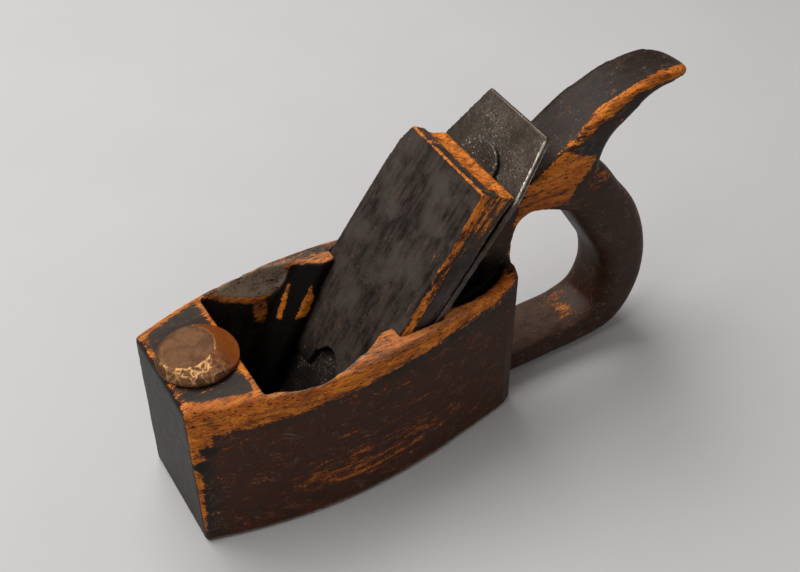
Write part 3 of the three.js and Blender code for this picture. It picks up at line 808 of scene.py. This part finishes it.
# ---- strike button ----
def strike_button():
    """A domed button hammered off centre: a flat face, a creased left rim and a slope to the heel."""
    piece = refined("strike_button", "hammered_button", BUTTON_VOXEL, "body")
    surface = Surface(piece)
    surface.rounded(3)
    x, y, z = surface.points.T
    top = BUTTON_HIGH[2] - 0.1
    shoulder = BODY_TOP + 0.9
    across = np.stack([x - BUTTON_CENTRE[0], y], 1) / BUTTON_RADIUS
    from_flat = np.linalg.norm(across - np.array([0.20, -0.24]), axis=1)
    heelward = smoothstep(-0.1, 0.75, -across[:, 0] - 0.25 * across[:, 1])
    near = smoothstep(0.0, 0.6, across[:, 1]) * (1 - heelward)
    slope = np.clip(from_flat - 0.70, 0, None)
    creases = rough_field(surface.points * np.array([1, 1, 0.2]), 1.9, 21)
    ring = smoothstep(0.58, 0.72, from_flat) * (1 - 0.8 * heelward)
    drop = slope * (0.5 + 4.2 * heelward + 0.9 * near) + 0.22 * ring * (0.5 + creases)
    stretched = surface.points * np.array([1, 1, 0.5])
    lines = sum(
        smoothstep(0.07, 0.01, np.abs(rough_field(stretched, 3.4, seed, 1))) for seed in (22, 23)
    )
    raised = 0.10 * lines * smoothstep(0.62, 0.74, from_flat) * (1 - heelward)
    dished = 0.08 * smoothstep(0.7, 0.2, from_flat)
    face = top - drop + raised - 0.03 * creases - dished
    surface.points[:, 2] = np.where(z > shoulder, np.minimum(z, np.maximum(face, shoulder)), z)
    surface.points = surface.smoothed(surface.points, 1)
    upper = smoothstep(BODY_TOP + 0.6, BODY_TOP + 1.4, surface.points[:, 2])
    # Highlights are painted on the creased rim, strongest on its left side, and along the thin crest round
    # the flat face.
    rim = smoothstep(0.60, 0.72, from_flat) * (0.35 + 0.65 * near) * (0.50 + 0.60 * lines)
    crest = smoothstep(0.045, 0.01, np.abs(from_flat - 0.71 - 0.03 * creases))
    crest *= smoothstep(-0.6, 0.3, creases)
    surface.attribute("wear_and_highlight", (0.56 * rim * (1 - heelward) + 0.5 * crest) * upper)
    surface.attribute("slope", smoothstep(0.68, 0.74, from_flat) * heelward)
    surface.write()
    piece.data.materials.append(hammered_brass("button_brass"))


# ---- stage ----
def camera():
    """Looks at the middle of the body from the left of the toe."""
    azimuth = math.radians(59.39)
    elevation = math.radians(43.29)
    distance = 0.4688
    target = Vector((-0.0018, -0.0250, 0.0320))
    level = math.cos(elevation)
    direction = Vector((level * math.cos(azimuth), level * math.sin(azimuth), math.sin(elevation)))
    data = bpy.data.cameras.new("camera")
    data.lens = 56.3
    data.sensor_width = 36
    seat = bpy.data.objects.new("camera", data)
    seat.location = target + direction * distance
    seat.rotation_euler = (-direction).to_track_quat("-Z", "Y").to_euler()
    bpy.context.scene.collection.objects.link(seat)
    bpy.context.scene.camera = seat


def floor():
    """A plain pale floor just below the sole."""
    half = 3.0
    below_sole = 0.0002
    corners = [(-half, -half, 0), (half, -half, 0), (half, half, 0), (-half, half, 0)]
    mesh = bpy.data.meshes.new("floor")
    mesh.from_pydata(corners, [], [(0, 1, 2, 3)])
    piece = bpy.data.objects.new("floor", mesh)
    piece.location.z = -below_sole
    bpy.context.scene.collection.objects.link(piece)
    s = Shader("floor")
    speckle = s.noise(s.space((60, 60, 60)), 3.0)
    colour = s.mix(speckle, (0.50, 0.50, 0.50), (0.54, 0.54, 0.54))
    mesh.materials.append(s.finish(colour, 0.8, speckle, 0.05, specular=0.2))


def softbox(name, place, aim, size, watts, colour):
    data = bpy.data.lights.new(name, "AREA")
    data.shape = "RECTANGLE"
    data.size, data.size_y = size
    data.energy = watts
    data.color = colour
    lamp = bpy.data.objects.new(name, data)
    lamp.location = place
    lamp.rotation_euler = (Vector(aim) - Vector(place)).to_track_quat("-Z", "Y").to_euler()
    bpy.context.scene.collection.objects.link(lamp)


def light():
    """Three soft lamps and an even grey surround."""
    middle = (0, 0, 0.05)
    softbox("overhead", (0.15, -0.45, 0.9), middle, (0.9, 0.6), 9.0, (1, 0.985, 0.97))
    softbox("front", (0.62, 0.05, 0.95), middle, (0.6, 0.6), 3.6, (1, 0.985, 0.97))
    softbox("fill", (0.2, 1.0, 0.6), middle, (0.8, 0.6), 1.3, (1, 0.97, 0.94))
    world = bpy.data.worlds.new("studio")
    world.use_nodes = True
    background = world.node_tree.nodes["Background"]
    background.inputs["Color"].default_value = (1, 0.97, 0.94, 1)
    background.inputs["Strength"].default_value = 0.22
    bpy.context.scene.world = world
    bpy.context.scene.view_settings.view_transform = "Standard"


camera()
floor()
light()
stock()
wedge()
plate("cutting_iron", "tapered_iron", "iron_steel", "iron", 1.0, IRON_PITS, iron_edge_highlight)
plate("cap_iron", "cap_iron_plate", "cap_steel", "cap", 0.62, CAP_PITS, cap_edge_highlight)
fittings()
strike_button()
